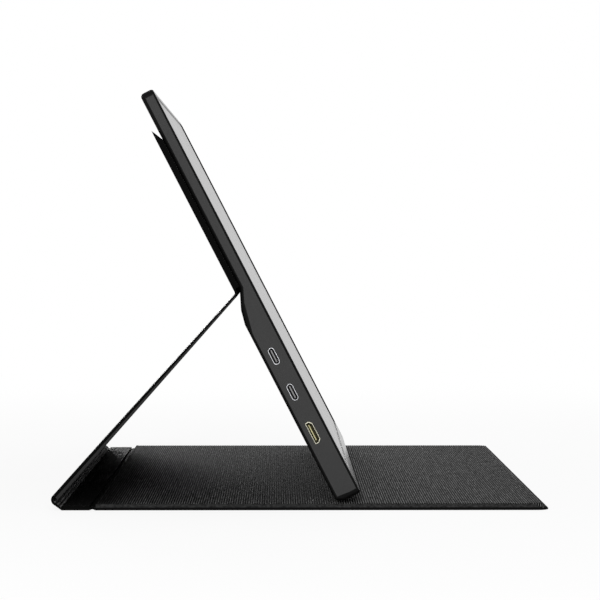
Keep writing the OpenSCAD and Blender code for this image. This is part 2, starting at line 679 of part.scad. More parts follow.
// Strut panel: y runs from the lower pivot to the upper pivot, and z from the outer to the inner face.
module on_strut() translate([0, lower_pivot[0], lower_pivot[1]]) rotate([180 - strut_angle, 0, 0])
    translate([0, fold_half, -strut_t / 2]) children();
module strut_skin() color([0.06, 0.06, 0.065]) on_strut() difference() {
    translate([-cover_w / 2, 0, 0]) cube([cover_w, strut_l, strut_t]);
    translate([-cover_w / 2 + skin_t, -1, skin_t]) cube([cover_w - 2 * skin_t, strut_l + 2, strut_t]);
}
module strut_board() color([0.35, 0.32, 0.28]) on_strut()
    translate([-cover_w / 2 + skin_t, 0, skin_t])
        cube([cover_w - 2 * skin_t, strut_l, strut_t - skin_t - lining_t]);
module strut_lining() color([0.24, 0.24, 0.25]) on_strut()
    translate([-cover_w / 2 + skin_t, 0, strut_t - lining_t])
        cube([cover_w - 2 * skin_t, strut_l, lining_t]);

// Fold fabric: a strip of even thickness along straight runs in the side view, round at its bends.
module strip(points) {
    for (i = [0:len(points) - 2]) {
        run = points[i + 1] - points[i];
        translate(points[i]) rotate(atan2(run[1], run[0]))
            translate([0, -fold_t / 2]) square([norm(run), fold_t]);
    }
    for (i = [1:len(points) - 2]) translate(points[i]) circle(d = fold_t);
}
function strut_point(y) = lower_pivot + y * [-cos(strut_angle), sin(strut_angle)];
module upper_fold() color([0.06, 0.06, 0.065]) along_x(-cover_w / 2, cover_w / 2)
    strip([monitor_point(flap_mid_v, flap_low), upper_pivot, strut_point(pivot_span - fold_half)]);
module lower_fold() color([0.06, 0.06, 0.065]) along_x(-cover_w / 2, cover_w / 2) difference() {
    spine_mid = [spine_rear, spine_t / 2];
    union() {
        strip([spine_mid, lower_pivot, strut_point(fold_half)]);
        translate(spine_mid) circle(d = fold_t);
    }
    translate([spine_rear - 10, 0]) square([10, 10]);
}

// Spine: lies on the table behind the base panel.
module spine_block(z0, z1, margin) translate([-cover_w / 2 + margin, spine_front, z0])
    cube([cover_w - 2 * margin, spine_l, z1 - z0]);
module spine_skin() color([0.06, 0.06, 0.065]) difference() {
    spine_block(0, spine_t, 0);
    translate([-cover_w / 2 + skin_t, spine_front - 1, skin_t])
        cube([cover_w - 2 * skin_t, spine_l + 2, spine_t]);
}
module spine_board() color([0.35, 0.32, 0.28]) spine_block(skin_t, spine_t - lining_t, skin_t);
module spine_lining() color([0.24, 0.24, 0.25]) spine_block(spine_t - lining_t, spine_t, skin_t);

module base_fold() color([0.06, 0.06, 0.065])
    translate([-cover_w / 2, base_rear, skin_t]) cube([cover_w, base_crease_l, fold_t]);

// Base panel: a skin below, a board inside, and a lining that slopes down to the skin all round.
module base_plan(margin) {
    half = cover_w / 2 - margin;
    r = max(cover_r - margin, 1);
    translate([-half, front_y + margin + r]) square([2 * half, base_l - 2 * margin - r]);
    translate([-half + r, front_y + margin]) square([2 * (half - r), base_l - 2 * margin]);
    for (side = [-1, 1]) translate([side * (half - r), front_y + margin + r]) circle(r);
}
module base_body() intersection() {
    linear_extrude(base_t) base_plan(0);
    along_x(-cover_w / 2, cover_w / 2)
        polygon([[front_y, 0], [base_rear, 0], [base_rear, skin_t], [base_rear - side_bevel, base_t],
                 [front_y + front_bevel, base_t], [front_y, skin_t]]);
    translate([0, base_rear, 0]) rotate([90, 0, 0]) linear_extrude(base_l)
        polygon([[-cover_w / 2, 0], [cover_w / 2, 0], [cover_w / 2, skin_t],
                 [cover_w / 2 - side_bevel, base_t], [-cover_w / 2 + side_bevel, base_t],
                 [-cover_w / 2, skin_t]]);
}
board_margin = front_bevel + 0.8;
board_high_z = base_t - lining_t;
module base_skin() color([0.06, 0.06, 0.065]) linear_extrude(skin_t) base_plan(0);
module base_board() color([0.35, 0.32, 0.28]) difference() {
    translate([0, 0, skin_t]) linear_extrude(board_high_z - skin_t) base_plan(board_margin);
    base_magnet_row();
}
module base_lining() color([0.24, 0.24, 0.25]) difference() {
    base_body();
    translate([0, 0, -1]) linear_extrude(skin_t + 1) base_plan(-1);
    linear_extrude(board_high_z) base_plan(board_margin);
}
module base_magnet_row() magnet_row(front_y + 12, board_high_z - magnet_t, magnet_w, magnet_t);
module base_magnets() color([0.65, 0.65, 0.66]) base_magnet_row();

rear_shell();
front_frame();
screen_glass();
display_cell();
optical_films();
light_guide();
reflector_sheet();
led_strip();
panel_tray();
panel_flex();
driver_board();
display_cable();
main_board();
board_chips();
board_shield();
upper_c_port();
lower_c_port();
video_port();
port_tongues();
headphone_socket();
button_board();
button_switches();
button_cable();
left_speaker();
right_speaker();
speaker_leads();
board_screws();
shell_screws();
grip_plate();
flap_skin();
flap_board();
flap_lining();
flap_magnets();
power_button();
menu_rocker();
upper_fold();
strut_skin();
strut_board();
strut_lining();
lower_fold();
spine_skin();
spine_board();
spine_lining();
base_fold();
base_skin();
base_board();
base_lining();
base_magnets();
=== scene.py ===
import math

import bmesh
import bpy
from mathutils import Matrix, Vector


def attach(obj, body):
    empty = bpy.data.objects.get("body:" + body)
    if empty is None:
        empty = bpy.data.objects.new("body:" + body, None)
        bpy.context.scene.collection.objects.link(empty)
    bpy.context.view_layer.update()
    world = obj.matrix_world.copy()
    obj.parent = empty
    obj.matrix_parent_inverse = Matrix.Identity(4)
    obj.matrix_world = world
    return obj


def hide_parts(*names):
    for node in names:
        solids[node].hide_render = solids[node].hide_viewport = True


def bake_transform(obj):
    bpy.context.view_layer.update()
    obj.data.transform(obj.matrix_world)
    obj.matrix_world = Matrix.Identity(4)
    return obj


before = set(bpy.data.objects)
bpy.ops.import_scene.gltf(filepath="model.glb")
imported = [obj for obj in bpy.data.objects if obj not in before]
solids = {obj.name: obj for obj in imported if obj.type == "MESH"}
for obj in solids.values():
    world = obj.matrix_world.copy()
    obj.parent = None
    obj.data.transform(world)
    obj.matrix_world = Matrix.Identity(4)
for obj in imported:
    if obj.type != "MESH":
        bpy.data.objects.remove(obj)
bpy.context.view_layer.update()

MM = 0.001


# Rear shell: one moulding of black plastic, slim above and deep below, hollow, with the sockets' openings,
# the speaker slots and the screw columns. Its back edges are rounded, and its flat sides are blasted to a
# dull grey within a black border; that border is painted shade on the edges that round off from the sides.

# The monitor is modelled upright, with its bottom front edge at the origin: x across, y behind its face.
monitor_lean = (Matrix.Translation((0, -29.65 * MM, 8.5406 * MM))
                @ Matrix.Rotation(math.radians(62.7 - 90), 4, "X"))
monitor_w, monitor_h = 356 * MM, 223.5 * MM
outer_x = monitor_w / 2
slim_depth = 7 * MM
corner_r = 3 * MM
hair = 0.01 * MM  # how near two places are that count as one


def take_up(piece):
    """Makes one piece alone the selected and active one."""
    bpy.ops.object.select_all(action="DESELECT")
    bpy.context.view_layer.objects.active = piece
    piece.select_set(True)


def open_up(piece):
    """Opens one piece alone in edit mode, with nothing on it selected."""
    take_up(piece)
    bpy.ops.object.mode_set(mode="EDIT")
    bpy.ops.mesh.select_all(action="DESELECT")


def pick(parts, test):
    """Selects those vertices, edges or faces of the open piece that pass a test, and nothing else."""
    bpy.ops.mesh.select_all(action="DESELECT")
    bpy.ops.mesh.select_mode(type={"verts": "VERT", "edges": "EDGE", "faces": "FACE"}[parts])
    mesh = bmesh.from_edit_mesh(bpy.context.edit_object.data)
    for part in getattr(mesh, parts):
        if test(part):
            part.select_set(True)
    bmesh.update_edit_mesh(bpy.context.edit_object.data)


def middle(part):
    """The middle of an edge or face."""
    return sum((vert.co for vert in part.verts), Vector()) / len(part.verts)


def borders(edge, way):
    """Whether an edge bounds a face that looks along a direction, beside one that looks aside or away."""
    if len(edge.link_faces) != 2:
        return False
    aside, facing = sorted(face.normal.dot(way) for face in edge.link_faces)
    return facing > 0.9 and aside < 0.1


def coat(piece, finish, test=None):
    """Gives the open piece a finish, or gives it to those of its faces that pass a test."""
    piece.data.materials.append(finish.material)
    if test is not None:
        pick("faces", test)
        piece.active_material_index = len(piece.data.materials) - 1
        bpy.ops.object.material_slot_assign()


def close_up(piece, place=None, smooth=30):
    """Leaves edit mode, moves the mesh to its place with the object at the origin, and shades it."""
    bpy.ops.object.mode_set(mode="OBJECT")
    if place is not None:
        piece.matrix_world = place
    bpy.ops.object.transform_apply()
    bpy.ops.object.shade_smooth_by_angle(angle=math.radians(smooth))
    piece.modifiers.new("Even faces", "WEIGHTED_NORMAL").keep_sharp = True
    bpy.ops.object.modifier_apply(modifier="Even faces")


def moulding(name, solid, place=None):
    """A copy of a solid with its loose triangles joined into whole faces, back in its upright axes."""
    piece = bpy.data.objects.new(name, solids[solid].data.copy())
    bpy.context.scene.collection.objects.link(piece)
    piece.data.materials.clear()
    take_up(piece)
    if place is not None:
        piece.matrix_world = place.inverted()
        bpy.ops.object.transform_apply()
    open_up(piece)
    bpy.ops.mesh.select_all(action="SELECT")
    bpy.ops.mesh.remove_doubles(threshold=0.002 * MM)
    bpy.ops.mesh.dissolve_limited(angle_limit=math.radians(0.3))
    bpy.ops.mesh.select_all(action="DESELECT")
    return piece


def round_off(width, steps=4):
    """Rounds the selected edges."""
    bpy.ops.mesh.bevel(offset=width, segments=steps, affect="EDGES", clamp_overlap=False)


def tint(level, *rest):
    """Linear colour from display values of 0 to 255: one for a grey, or red, green and blue."""
    levels = (level, *rest) if rest else (level,) * 3
    return (*(((v / 255 + 0.055) / 1.055) ** 2.4 for v in levels), 1)


class Signal:
    """A shader socket. Expressions on signals add their Math nodes."""

    def __init__(self, finish, socket):
        self.finish, self.socket = finish, socket

    def maths(self, operation, *others):
        """A Math node on this signal, and on others where the operation takes more."""
        return self.finish.node("ShaderNodeMath", {"operation": operation}, dict(enumerate((self, *others))))

    def __add__(self, other):
        return self.maths("ADD", other)

    def __sub__(self, other):
        return self.maths("SUBTRACT", other)

    def __rsub__(self, other):
        return self.maths("MULTIPLY_ADD", -1, other)

    def __mul__(self, other):
        return self.maths("MULTIPLY", other)

    def __truediv__(self, other):
        return self.maths("DIVIDE", other)

    def __abs__(self):
        return self.maths("ABSOLUTE")

    __radd__, __rmul__ = __add__, __mul__

    def zigzag(self, pitch):
        """Up from 0 to 1 and down again over each pitch."""
        return self.maths("PINGPONG", pitch / 2) / (pitch / 2)

    def ramp(self, low, high):
        """0 below low, 1 above high, and smooth between; low may be the larger."""
        return self.finish.node("ShaderNodeMapRange", {"interpolation_type": "SMOOTHSTEP"},
                                {"Value": self, "From Min": low, "From Max": high})


class Finish:
    """A material, with the values of its Principled shader and one method that adds any other node."""

    def __init__(self, name, **values):
        self.material = bpy.data.materials.new(name)
        self.material.use_nodes = True
        self.tree = self.material.node_tree
        self.shader = self.tree.nodes["Principled BSDF"]
        self.set(**values)

    def set(self, **values):
        """Gives the shader's sockets plain values or signals: base_color, roughness and so on."""
        titles = {"specular": "Specular IOR Level", "coat": "Coat Weight"}
        for name, value in values.items():
            self.feed(self.shader.inputs[titles.get(name, name.replace("_", " ").title())], value)

    def feed(self, socket, value):
        if isinstance(value, Signal):
            self.tree.links.new(value.socket, socket)
        else:
            socket.default_value = value

    def node(self, kind, settings=None, values=None, output=0):
        """Adds a node: its settings first, then what its sockets take. Returns one of its outputs."""
        made = self.tree.nodes.new(kind)
        for name, value in (settings or {}).items():
            setattr(made, name, value)
        for name, value in (values or {}).items():
            self.feed(made.inputs[name], value)
        return Signal(self, made.outputs[output])

    def spot(self, place=None, scale=None):
        """Where a point of the piece is, in the upright axes of the part that it belongs to. A scale below
        1 draws a pattern out along that axis."""
        here = self.node("ShaderNodeTexCoord", output="Object")
        if place is not None:
            here = self.node("ShaderNodeMapping", {"vector_type": "TEXTURE"}, {
                "Vector": here, "Location": place.translation, "Rotation": place.to_euler()})
        if scale is not None:
            here = self.node("ShaderNodeMapping", {"vector_type": "POINT"}, {
                "Vector": here, "Scale": scale})
        return here

    def xyz(self, vector):
        """The three parts of a place or of a colour."""
        split = self.node("ShaderNodeSeparateXYZ", {}, {"Vector": vector}).socket.node
        return [Signal(self, part) for part in split.outputs]

    def noise(self, vector, size, detail=2, rough=0.5):
        """Cloudy variation from 0 to 1, with grains of that size."""
        return self.node("ShaderNodeTexNoise", {}, {
            "Vector": vector, "Scale": 1 / size, "Detail": detail, "Roughness": rough})

    def cells(self, vector, size, feature="F1", output="Distance"):
        """How far a point is from its cell's middle, or from the cell's edge, or the cell's own colour."""
        return self.node("ShaderNodeTexVoronoi", {"feature": feature}, {
            "Vector": vector, "Scale": 1 / size}, output)

    def mix(self, share, low, high):
        """Colour from low, where share is 0, to high, where it is 1."""
        return self.node("ShaderNodeMix", {"data_type": "RGBA"}, {0: share, 6: low, 7: high}, output=2)

    def bump(self, height, depth):
        """A height from 0 to 1 as relief of that depth."""
        return self.node("ShaderNodeBump", {}, {"Height": height, "Distance": depth})

    def onto(self, *names):
        """Gives this finish to the solids that are shown as they are."""
        for name in names:
            solids[name].data.materials.clear()
            solids[name].data.materials.append(self.material)


def moulded_plastic(name, tone, roughness, grain=0.16 * MM, relief=0.02 * MM, specular=0.2):
    """Spark-eroded plastic: fine grains in its relief, and a slight cloudiness in its tone and gloss."""
    finish = Finish(name, specular=specular)
    spot = finish.spot(monitor_lean)
    grains = finish.noise(spot, grain, 3, 0.6)
    clouds = finish.noise(spot, 14 * MM, 2)
    finish.set(base_color=finish.mix(grains * 0.6 + clouds * 0.4, tint(tone * 0.84), tint(tone * 1.16)),
               roughness=roughness + (clouds - 0.5) * 0.12 + (grains - 0.5) * 0.1,
               normal=finish.bump(grains, relief))
    return finish


black_plastic = moulded_plastic("black_moulded_plastic", 8, 0.5, specular=0.06)
side_grey = moulded_plastic("blasted_grey_side", 48, 0.55, grain=0.35 * MM, specular=0.12)

shell = moulding("shell_moulding", "rear_shell", monitor_lean)


def on_shell_back_edge(edge):
    """Where the sides, top and bottom of the shell meet its back, but not round the openings."""
    if len(edge.link_faces) != 2:
        return False
    side, back = sorted(edge.link_faces, key=lambda face: face.normal.y)
    across = [vert.co.x for vert in back.verts]
    wide_back = back.normal.y > 0.3 and max(across) - min(across) > 5 * MM
    spot = middle(edge)
    on_rim = abs(spot.x) > outer_x - hair or not corner_r + hair < spot.z < monitor_h - corner_r - hair
    return abs(side.normal.y) < 0.05 and wide_back and on_rim and spot.y > 2 * MM


pick("edges", on_shell_back_edge)
round_off(1.9 * MM, 6)
coat(shell, black_plastic)
# Painted shade: only the flat sides are grey, so the rounded edges round them keep the black as their shade.
coat(shell, side_grey, lambda face: abs(face.normal.x) > 0.999 and abs(middle(face).x) > outer_x - hair)
close_up(shell, monitor_lean)
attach(shell, "monitor")
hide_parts("rear_shell")


# Grip plate: a thin sheet of steel, rolled and plated, glued to the inside of the slim back. The magnets in
# the cover's flap hold on to it through the plastic.
def sheet_steel(name, tone, streak, roughness=0.35):
    """Rolled steel: long faint streaks along the axis that streak draws out, and a few dull patches."""
    finish = Finish(name, metallic=1.0)
    streaks = finish.noise(finish.spot(monitor_lean, streak), 0.4 * MM, 3, 0.6)
    patches = finish.noise(finish.spot(monitor_lean), 9 * MM, 3)
    finish.set(base_color=finish.mix(streaks * 0.7 + patches * 0.3, tint(tone * 0.86), tint(tone * 1.1)),
               roughness=roughness + (patches - 0.5) * 0.2 + (streaks - 0.5) * 0.15,
               normal=finish.bump(streaks, 0.01 * MM))
    return finish


sheet_steel("plated_grip_steel", 150, streak=(0.02, 1, 1)).onto("grip_plate")


# Main board and button board: glass-fibre boards under green solder mask, with copper tracks and
# plated holes. Black resin chips and coils stand on the main board, and a folded tinplate can behind it.
track_pitch = 0.9 * MM
solder_mask = Finish("green_solder_mask", specular=0.5, coat=0.3, coat_roughness=0.2)
spot = solder_mask.spot(monitor_lean)
x, y, z = solder_mask.xyz(spot)
lay = solder_mask.xyz(solder_mask.cells(spot, 6 * MM, output="Color"))[0].ramp(0.49, 0.51)
across, upward = (way.zigzag(track_pitch).ramp(0.55, 0.7) for way in (x, z))
tracks = across * lay + upward * (1 - lay)
vias = solder_mask.cells(spot, 2.6 * MM).ramp(0.13, 0.1)
mask = solder_mask.mix(tracks, tint(14, 78, 46), tint(20.3, 113.1, 66.7))
solder_mask.set(base_color=solder_mask.mix(vias, mask, tint(190, 175, 120)), metallic=vias * 0.9,
                roughness=0.38 - vias * 0.1, normal=solder_mask.bump(tracks + vias, 0.03 * MM))
solder_mask.onto("main_board", "button_board", "driver_board")

chip_resin = Finish("black_chip_resin", specular=0.3)
spot = chip_resin.spot(monitor_lean)
specks = chip_resin.noise(spot, 0.12 * MM, 2, 0.7)
windings = chip_resin.xyz(spot)[2].zigzag(0.6 * MM)
chip_resin.set(base_color=chip_resin.mix(specks, tint(24), tint(46)), roughness=0.5 + specks * 0.3,
               normal=chip_resin.bump(specks + windings * 0.1, 0.03 * MM))
chip_resin.onto("board_chips")

sheet_steel("tinplate_can", 196, streak=(1, 1, 0.02), roughness=0.28).onto("board_shield")


# Power and data sockets: drawn steel tubes, nickel-plated, flush with the monitor's left side. Each has a
# rolled bright mouth, and its walls behind the mouth are painted dark as the shade inside it. The video
# socket is the same in pale gold, with two corners cut.
def plated(name, tone, roughness):
    """Bright plating over drawn metal: fine draw marks along the tube, dulled a little in places."""
    finish = Finish(name, metallic=1.0)
    draw_marks = finish.noise(finish.spot(monitor_lean, (0.05, 1, 1)), 0.15 * MM, 2)
    dull = finish.noise(finish.spot(monitor_lean), 1.5 * MM, 3)
    worn = tint(*(level * 0.9 for level in tone))
    finish.set(base_color=finish.mix(draw_marks * 0.5 + dull * 0.5, worn, tint(*tone)),
               roughness=roughness + (dull - 0.5) * 0.12, normal=finish.bump(draw_marks, 0.004 * MM))
    return finish


nickel = plated("bright_nickel_plate", (172, 173, 176), 0.32)
pale_gold = plated("pale_gold_plate", (180, 178, 162), 0.32)
# Painted shade: dark tones for the socket walls behind the mouth, where shade falls inside.
nickel_painted_shade = plated("nickel_inside_painted_shade", (44, 44, 46), 0.55)
gold_painted_shade = plated("gold_inside_painted_shade", (64, 61, 44), 0.55)

mouth_depth = 0.3 * MM
for socket, plating, inside, slot in (("upper_c_port", nickel, nickel_painted_shade, "port_steel"),
                                      ("lower_c_port", nickel, nickel_painted_shade, "port_steel"),
                                      ("video_port", pale_gold, gold_painted_shade, "port_gold")):
    tube = moulding(socket + "_tube", socket, monitor_lean)
    pick("edges", lambda edge: borders(edge, Vector((-1, 0, 0))) and middle(edge).x < -outer_x + hair)
    round_off(0.09 * MM, 2)
    coat(tube, plating)
    # The walls deeper than the mouth get the painted shade.
    coat(tube, inside, lambda face: middle(face).x > -outer_x + mouth_depth)
    close_up(tube, monitor_lean, 40)
    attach(tube, "monitor")
    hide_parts(socket)


# Contact tongues: blades of glass-filled plastic, grey in the power and data sockets and pale yellow in the
# video socket below them. A row of gold-plated contacts lies on each face, set back from the blade's tip.
tongue_tip = -outer_x + 0.8 * MM
video_top = 47.5 * MM
tongue_plastic = Finish("tongue_with_contacts", specular=0.4)
spot = tongue_plastic.spot(monitor_lean)
x, y, z = tongue_plastic.xyz(spot)
grains = tongue_plastic.noise(spot, 0.1 * MM)
rows = z.zigzag(0.5 * MM).ramp(0.5, 0.6) * x.ramp(tongue_tip + 0.4 * MM, tongue_tip + 0.5 * MM)
video = z.ramp(video_top + 0.5 * MM, video_top - 0.5 * MM)
blade = tongue_plastic.mix(video, tongue_plastic.mix(grains, tint(104), tint(136)), tint(176, 170, 126))
tongue_plastic.set(base_color=tongue_plastic.mix(rows, blade, tint(226, 196, 120)),
                   metallic=rows * 0.95, roughness=0.5 - rows * 0.25,
                   normal=tongue_plastic.bump(rows, 0.03 * MM))
tongues = moulding("socket_tongues", "port_tongues", monitor_lean)
pick("edges", lambda edge: len(edge.link_faces) == 2 and middle(edge).x < tongue_tip + hair)
round_off(0.14 * MM, 2)
coat(tongues, tongue_plastic)
close_up(tongues, monitor_lean, 40)
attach(tongues, "monitor")
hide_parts("port_tongues")


# Headphone socket: a block moulded in black plastic, soldered to the button board. Its round nose comes
# through the right side, and the rim of its mouth is rounded to guide the plug.
socket_black = moulded_plastic("socket_black", 18, 0.4)
earphone = moulding("headphone_block", "headphone_socket", monitor_lean)
pick("edges", lambda edge: borders(edge, Vector((1, 0, 0))) and middle(edge).x > outer_x - 0.3 * MM)
round_off(0.25 * MM, 3)
coat(earphone, socket_black)
close_up(earphone, monitor_lean, 40)
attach(earphone, "monitor")
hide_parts("headphone_socket")


# Switches on the button board, and the flat cable that joins it to the main board: a white ribbon with
# printed conductors. The display's flat cable is the same ribbon.
sheet_steel("switch_tin", 178, streak=(1, 0.05, 1), roughness=0.3).onto("button_switches")

ribbon = Finish("white_flat_cable", specular=0.5)
spot = ribbon.spot(monitor_lean)
wires = ribbon.xyz(spot)[2].zigzag(0.8 * MM).ramp(0.5, 0.62)
haze = ribbon.noise(spot, 3 * MM)
film = ribbon.mix(haze, tint(226, 226, 220), tint(238, 238, 234))
ribbon.set(base_color=ribbon.mix(wires, film, tint(196, 194, 184)),
           roughness=0.4 + haze * 0.1, normal=ribbon.bump(wires, 0.04 * MM))
ribbon.onto("button_cable", "display_cable")


# Power button and menu rocker: caps of black plastic that stand out of the right side, with rounded
# rims, each held by a wider flange behind the wall. The rocker has a cut across its middle.
key_plastic = moulded_plastic("key_plastic", 26, 0.42, grain=0.12 * MM)
for key in ("power_button", "menu_rocker"):
    cap = moulding(key + "_cap", key, monitor_lean)
    pick("edges", lambda edge: borders(edge, Vector((1, 0, 0))) and middle(edge).x > outer_x + 0.2 * MM)
    round_off(0.2 * MM, 3)
    coat(cap, key_plastic)
    close_up(cap, monitor_lean, 40)
    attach(cap, key)
    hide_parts(key)


# Speakers: black moulded boxes, screwed down behind the slots in the shell, with oval diaphragms of pressed
# paper. Twisted leads with a red jacket run from them to the boards.
diaphragm = Finish("speaker_box_and_paper", specular=0.25)
fibres = diaphragm.noise(diaphragm.spot(monitor_lean, (1, 1, 0.3)), 0.3 * MM, 4, 0.7)
diaphragm.set(base_color=diaphragm.mix(fibres, tint(24), tint(52)), roughness=0.62 + fibres * 0.2,
              normal=diaphragm.bump(fibres, 0.04 * MM))
diaphragm.onto("left_speaker", "right_speaker")

lead_jacket = Finish("red_lead_jacket", specular=0.4)
x, y, z = lead_jacket.xyz(lead_jacket.spot(monitor_lean))
twist = (x + z * 2 + y * 2).zigzag(1.6 * MM)
lead_jacket.set(base_color=lead_jacket.mix(twist.ramp(0.4, 0.6), tint(150, 22, 18), tint(96, 12, 10)),
                roughness=0.45 + twist * 0.1, normal=lead_jacket.bump(twist, 0.08 * MM))
lead_jacket.onto("speaker_leads")


# Screws: zinc-plated ones hold the boards, and black ones, sunk in the back, close the shell. Their heads
# show turned rings.
def turned_screw(name, tone, roughness):
    finish = Finish(name, metallic=1.0)
    spot = finish.spot(monitor_lean)
    patchy_noise = finish.noise(spot, 0.25 * MM, 3)
    thread = finish.xyz(spot)[1].zigzag(0.5 * MM)
    finish.set(base_color=finish.mix(patchy_noise, tint(tone * 0.8), tint(tone * 1.1)),
               roughness=roughness + patchy_noise * 0.15, normal=finish.bump(thread, 0.05 * MM))
    return finish


turned_screw("zinc_screw", 188, 0.25).onto("board_screws")
turned_screw("black_oxide_screw", 44, 0.35).onto("shell_screws")


# Display stack, from the back: driver board, folded steel tray, white reflector, printed light guide
# with its strip of diodes, three films, the liquid crystal cell and its amber printed films.
sheet_steel("zinc_coated_tray", 176, streak=(0.03, 1, 1), roughness=0.36).onto("panel_tray")

reflector_white = Finish("white_reflector", specular=0.3)
pits = reflector_white.noise(reflector_white.spot(monitor_lean), 0.2 * MM, 2)
reflector_white.set(base_color=reflector_white.mix(pits, tint(236), tint(246)), roughness=0.55 + pits * 0.1,
                    normal=reflector_white.bump(pits, 0.01 * MM))
reflector_white.onto("reflector_sheet")

guide_acrylic = Finish("clear_light_guide", roughness=0.1, specular=0.5)
dots = guide_acrylic.cells(guide_acrylic.spot(monitor_lean), 1.4 * MM).ramp(0.3, 0.24)
guide_acrylic.set(base_color=guide_acrylic.mix(dots, tint(205, 218, 226), tint(246, 248, 250)),
                  roughness=0.12 + dots * 0.5)
guide_acrylic.onto("light_guide")

diodes = Finish("diode_strip", specular=0.4)
lenses = diodes.xyz(diodes.spot(monitor_lean))[0].zigzag(14.45 * MM).ramp(0.7, 0.9)
diodes.set(base_color=diodes.mix(lenses, tint(228, 226, 216), tint(238, 214, 110)),
           roughness=0.35 - lenses * 0.1, normal=diodes.bump(lenses, 0.05 * MM))
diodes.onto("led_strip")

film_white = Finish("prism_film", specular=0.5)
prisms = film_white.xyz(film_white.spot(monitor_lean))[2].zigzag(0.3 * MM)
film_white.set(base_color=film_white.mix(prisms, tint(226, 229, 233), tint(240, 242, 245)),
               roughness=0.3 + prisms * 0.1, normal=film_white.bump(prisms, 0.05 * MM))
film_white.onto("optical_films")

cell_glass = Finish("liquid_crystal_cell", specular=0.5)
pixel_pitch = 0.18 * MM
x, y, z = cell_glass.xyz(cell_glass.spot(monitor_lean))
pixels = x.zigzag(pixel_pitch) * z.zigzag(pixel_pitch)
cell_glass.set(base_color=cell_glass.mix(pixels, tint(20, 20, 26), tint(34, 34, 44)),
               roughness=0.12 + pixels * 0.1)
cell_glass.onto("display_cell")

amber_flex = Finish("amber_printed_film", specular=0.5)
strands = amber_flex.xyz(amber_flex.spot(monitor_lean))[0].zigzag(0.5 * MM).ramp(0.5, 0.7)
amber_flex.set(base_color=amber_flex.mix(strands, tint(176, 104, 28), tint(206, 140, 62)), roughness=0.32,
               normal=amber_flex.bump(strands, 0.02 * MM))
amber_flex.onto("panel_flex")


# Screen: a sheet of cover glass, bonded in the frame's lip with a slight haze in its polish. It is printed
# black round its edge, and looks dark grey over the picture area, which is off.
picture_w, picture_low, picture_high = 344.2 * MM, 14.5 * MM, 208.2 * MM
print_blur = 0.1 * MM
screen_front = Finish("screen_glass_dark", specular=0.5)
x, y, z = screen_front.xyz(screen_front.spot(monitor_lean))
picture = (abs(x).ramp(picture_w / 2 + print_blur, picture_w / 2 - print_blur)
           * z.ramp(picture_low - print_blur, picture_low + print_blur)
           * z.ramp(picture_high + print_blur, picture_high - print_blur))
smear = screen_front.noise(screen_front.spot(monitor_lean, (1, 1, 0.4)), 30 * MM, 3)
screen_front.set(base_color=screen_front.mix(picture, tint(9, 9, 10), tint(22, 22, 25)),
                 roughness=0.18 + smear * 0.06)
screen_front.onto("screen_glass")


# Front frame: a thin plate of satin black plastic with a lip round the glass, a chin below it, and columns
# behind for the shell's screws. Its outer edge is rounded, and foam seals its sides to the glass.
frame_black = moulded_plastic("satin_black_frame", 9, 0.16, grain=0.14 * MM, relief=0.003 * MM, specular=0.05)
side_border, top_border, chin = 3.3 * MM, 3 * MM, 12 * MM
bezel = moulding("front_frame_moulding", "front_frame", monitor_lean)


def at_glass(part):
    """Whether an edge or face of the frame lies at the inner ends of its borders, round the glass."""
    spot, room = middle(part), 0.1 * MM
    return (abs(spot.x) < outer_x - side_border + room
            and chin - room < spot.z < monitor_h - top_border + room)


def on_frame_front(edge):
    """Whether an edge bounds the frame's front face."""
    return borders(edge, Vector((0, -1, 0))) and middle(edge).y < hair


pick("edges", lambda edge: on_frame_front(edge) and not at_glass(edge))
round_off(1.05 * MM, 5)
pick("edges", lambda edge: on_frame_front(edge) and at_glass(edge))
round_off(0.06 * MM, 2)
coat(bezel, frame_black)
gasket = Finish("black_foam_gasket", specular=0.0)
pores = gasket.noise(gasket.spot(), 0.2 * MM, 2)
gasket.set(base_color=gasket.mix(pores, tint(5), tint(11)), roughness=0.85 + pores * 0.1,
           normal=gasket.bump(pores, 0.03 * MM))
coat(bezel, gasket, lambda face: at_glass(face) and abs(face.normal.x) > 0.3 and middle(face).y < 0.8 * MM)
close_up(bezel, monitor_lean)
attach(bezel, "monitor")
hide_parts("front_frame")


# Cover, base panel. Its outer skin is a sheet of grained black leathercloth, with its lower edge rolled and
# its cut edge painted black. A grey board is laid in it, with magnet bars let into the board's front.
cover_w, base_l = 360 * MM, 223.3 * MM
base_front, base_rear = -122.35 * MM, 100.95 * MM
skin_t, panel_corner_r = 0.5 * MM, 6 * MM


def leathercloth(name, tone=22, place=None, specular=0.15):
    """Grained black leathercloth: small pebbles with dull creases between them."""
    finish = Finish(name, specular=specular)
    spot = finish.spot(place)
    wander = finish.noise(spot, 2.5 * MM, 2)
    pebbles = finish.cells(spot, 0.85 * MM, "DISTANCE_TO_EDGE").ramp(0.0, 0.22)
    clouds = finish.noise(spot, 22 * MM, 3)
    grain = pebbles * 0.6 + clouds * 0.25 + wander * 0.15
    finish.set(base_color=finish.mix(grain, tint(tone * 0.68), tint(tone * 1.16)),
               roughness=0.66 - pebbles * 0.14 + (clouds - 0.5) * 0.1,
               normal=finish.bump(pebbles * 0.8 + wander * 0.2, 0.09 * MM))
    return finish


skin = leathercloth("black_leathercloth")

edge_paint = Finish("painted_cut_edge", specular=0.02)
strokes = edge_paint.noise(edge_paint.spot(), 0.6 * MM, 3)
edge_paint.set(base_color=edge_paint.mix(strokes, tint(3), tint(7)), roughness=0.6 + strokes * 0.15,
               normal=edge_paint.bump(strokes, 0.05 * MM))


def paint_edges(piece, test=lambda face: abs(face.normal.x) > 0.25):
    """Gives the open piece its painted cut edges, which are its two ends unless a test picks other faces."""
    coat(piece, edge_paint, test)


